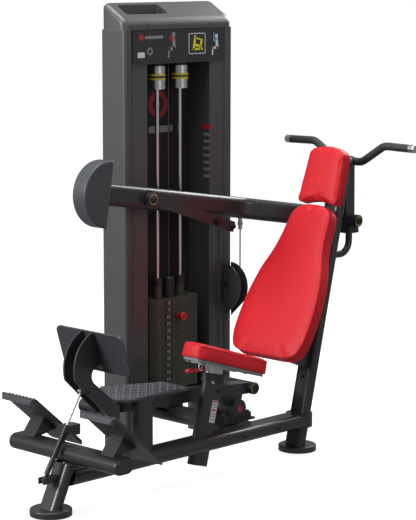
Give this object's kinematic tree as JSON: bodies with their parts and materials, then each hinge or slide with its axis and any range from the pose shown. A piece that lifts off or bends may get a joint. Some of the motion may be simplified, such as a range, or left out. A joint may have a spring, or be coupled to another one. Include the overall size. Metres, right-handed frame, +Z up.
{
  "type": "shoulder press machine",
  "caption": "Selectorised shoulder press: sloped seat, tall backrest and headrest beside a weight tower, a counterweighted press arm with a handle yoke and a foot-operated starting lever.",
  "frame": {"origin": "centre of the front foot's underside, on the floor", "axes": "+X from the front foot towards the back of the seat, +Y towards the weight tower, +Z up"},
  "size_m": [1.8963, 0.961, 1.962],
  "materials": {
    "frame_paint": "satin",
    "tower_paint": "satin",
    "tread_plate": "matt",
    "weight_plate": "satin",
    "steel": "brushed",
    "chrome": "polished",
    "pad_cover": "semi-gloss",
    "board": "satin",
    "rubber": "matt",
    "bronze": "satin",
    "red_part": "gloss",
    "black_plastic": "matt",
    "cable": "satin",
    "counterweight_paint": "satin",
    "panel_print": "gloss"
  },
  "bodies": {
    "frame": {"base_rail": "frame_paint", "front_post": "frame_paint", "rear_post": "frame_paint", "foot_discs": "frame_paint", "levelling_pads": "rubber", "footrest_crossbar": "frame_paint", "footrest_plates": "tread_plate", "front_brackets": "frame_paint", "step_post": "frame_paint", "step_platform": "tread_plate", "tower_base": "frame_paint", "tower_panels": "tower_paint", "header_panel": "panel_print", "tower_back_panel": "tower_paint", "tower_top_cover": "tower_paint", "guide_rods": "chrome", "pulley_brackets": "frame_paint", "main_pivot_shaft": "steel", "rest_bracket": "frame_paint", "rest_cradle": "rubber", "backrest_pad": "pad_cover", "headrest_pad": "pad_cover", "pad_boards": "board", "pad_brackets": "frame_paint", "seat_column": "frame_paint", "column_collar": "black_plastic", "pillow_blocks": "frame_paint", "bearing_caps": "red_part", "frame_bolts": "steel", "resting_plates": "weight_plate", "lift_cable": "cable", "drop_cable": "cable", "stack_cable": "cable"},
    "press_arm": {"press_beam": "frame_paint", "counterweight": "counterweight_paint", "cable_fitting": "steel"},
    "yoke": {"handle_yoke": "frame_paint", "yoke_bushes": "bronze", "handle_grips": "rubber", "handle_caps": "steel"},
    "assist": {"assist_bar": "frame_paint", "assist_bush": "bronze"},
    "rod": {"push_rod": "steel"},
    "foot_lever": {"pedal_plate": "tread_plate", "lever_arm": "frame_paint", "lever_bush": "bronze"},
    "cylinder": {"strut_cylinder": "black_plastic"},
    "strut": {"strut_rod": "steel"},
    "seat": {"seat_pad": "pad_cover", "seat_board": "board", "seat_carriage": "steel"},
    "release": {"release_lever": "red_part"},
    "stack": {"selected_plates": "weight_plate", "selector_rod": "black_plastic"},
    "pin": {"selector_pin": "red_part"},
    "left_weight": {"left_increment_weight": "steel"},
    "right_weight": {"right_increment_weight": "steel"},
    "low_wheel": {"drop_pulley": "black_plastic"},
    "right_wheel": {"right_top_pulley": "black_plastic"},
    "left_wheel": {"left_top_pulley": "black_plastic"}
  },
  "joints": [
    {"name": "arm_pivot", "type": "hinge", "parent": "frame", "child": "press_arm", "pos_m": [0.848, 0.35, 1.145], "axis": [0, -1, 0], "range_deg": [0, 40], "deforming": ["drop_cable"]},
    {"name": "yoke_pivot", "type": "hinge", "parent": "press_arm", "child": "yoke", "pos_m": [1.777, 0, 0.998], "axis": [0, -1, 0], "range_deg": [-10, 1.5]},
    {"name": "lever_pivot", "type": "hinge", "parent": "frame", "child": "foot_lever", "pos_m": [1.133, 0.15, 0.231], "axis": [0, -1, 0], "range_deg": [0, 3.8], "stiffness_Nm_per_rad": 400, "springref_deg": -51.57},
    {"name": "assist_pivot", "type": "hinge", "parent": "frame", "child": "assist", "pos_m": [0.848, 0.306, 1.145], "axis": [0, -1, 0], "range_deg": [-0.01, 0.965]},
    {"name": "rod_pivot", "type": "hinge", "parent": "assist", "child": "rod", "pos_m": [1.23894, 0.289, 1.01495], "axis": [0, -1, 0], "range_deg": [-1.58, 0.05]},
    {"name": "strut_pivot", "type": "hinge", "parent": "frame", "child": "cylinder", "pos_m": [-0.034, 0, 0.15], "axis": [0, -1, 0], "range_deg": [-4.06, 0.05]},
    {"name": "strut_slide", "type": "slide", "parent": "cylinder", "child": "strut", "axis": [0.5238, 0, 0.8518], "range_m": [-0.06213, 0.0005]},
    {"name": "seat_slide", "type": "slide", "parent": "frame", "child": "seat", "axis": [0.2555, 0, 0.9668], "range_m": [0, 0.14]},
    {"name": "release_pivot", "type": "hinge", "parent": "seat", "child": "release", "pos_m": [0.86, 0, 0.46], "axis": [0, 1, 0], "range_deg": [0, 12], "stiffness_Nm_per_rad": 1, "springref_deg": -22.92},
    {"name": "stack_slide", "type": "slide", "parent": "frame", "child": "stack", "axis": [0, 0, 1], "range_m": [-0.0005, 0.42293], "deforming": ["stack_cable"]},
    {"name": "pin_slide", "type": "slide", "parent": "stack", "child": "pin", "axis": [0, -1, 0], "range_m": [0, 0.09]},
    {"name": "left_weight_slide", "type": "slide", "parent": "frame", "child": "left_weight", "axis": [0, 0, 1], "range_m": [-0.36, 0]},
    {"name": "right_weight_slide", "type": "slide", "parent": "frame", "child": "right_weight", "axis": [0, 0, 1], "range_m": [-0.36, 0]},
    {"name": "low_wheel_spin", "type": "hinge", "parent": "frame", "child": "low_wheel", "pos_m": [1.452, 0.4375, 0.69], "axis": [-1, 0, 0], "range_deg": [-1, 312.94]},
    {"name": "right_wheel_spin", "type": "hinge", "parent": "frame", "child": "right_wheel", "pos_m": [1.407, 0.515, 1.785], "axis": [0, 1, 0], "range_deg": [-1, 538.22]},
    {"name": "left_wheel_spin", "type": "hinge", "parent": "frame", "child": "left_wheel", "pos_m": [1.2, 0.515, 1.785], "axis": [0, 1, 0], "range_deg": [-1, 538.22]}
  ],
  "couplings": [
    {"joint": "stack_slide", "follows": "arm_pivot", "m_per_rad": 0.60437},
    {"joint": "low_wheel_spin", "follows": "arm_pivot", "ratio": 7.7984},
    {"joint": "right_wheel_spin", "follows": "arm_pivot", "ratio": 13.431},
    {"joint": "left_wheel_spin", "follows": "arm_pivot", "ratio": 13.431},
    {"joint": "assist_pivot", "follows": "lever_pivot", "ratio": 0.24868},
    {"joint": "rod_pivot", "follows": "lever_pivot", "ratio": -0.40193},
    {"joint": "strut_pivot", "follows": "lever_pivot", "ratio": -1.0553},
    {"joint": "strut_slide", "follows": "lever_pivot", "m_per_rad": -0.92927}
  ]
}
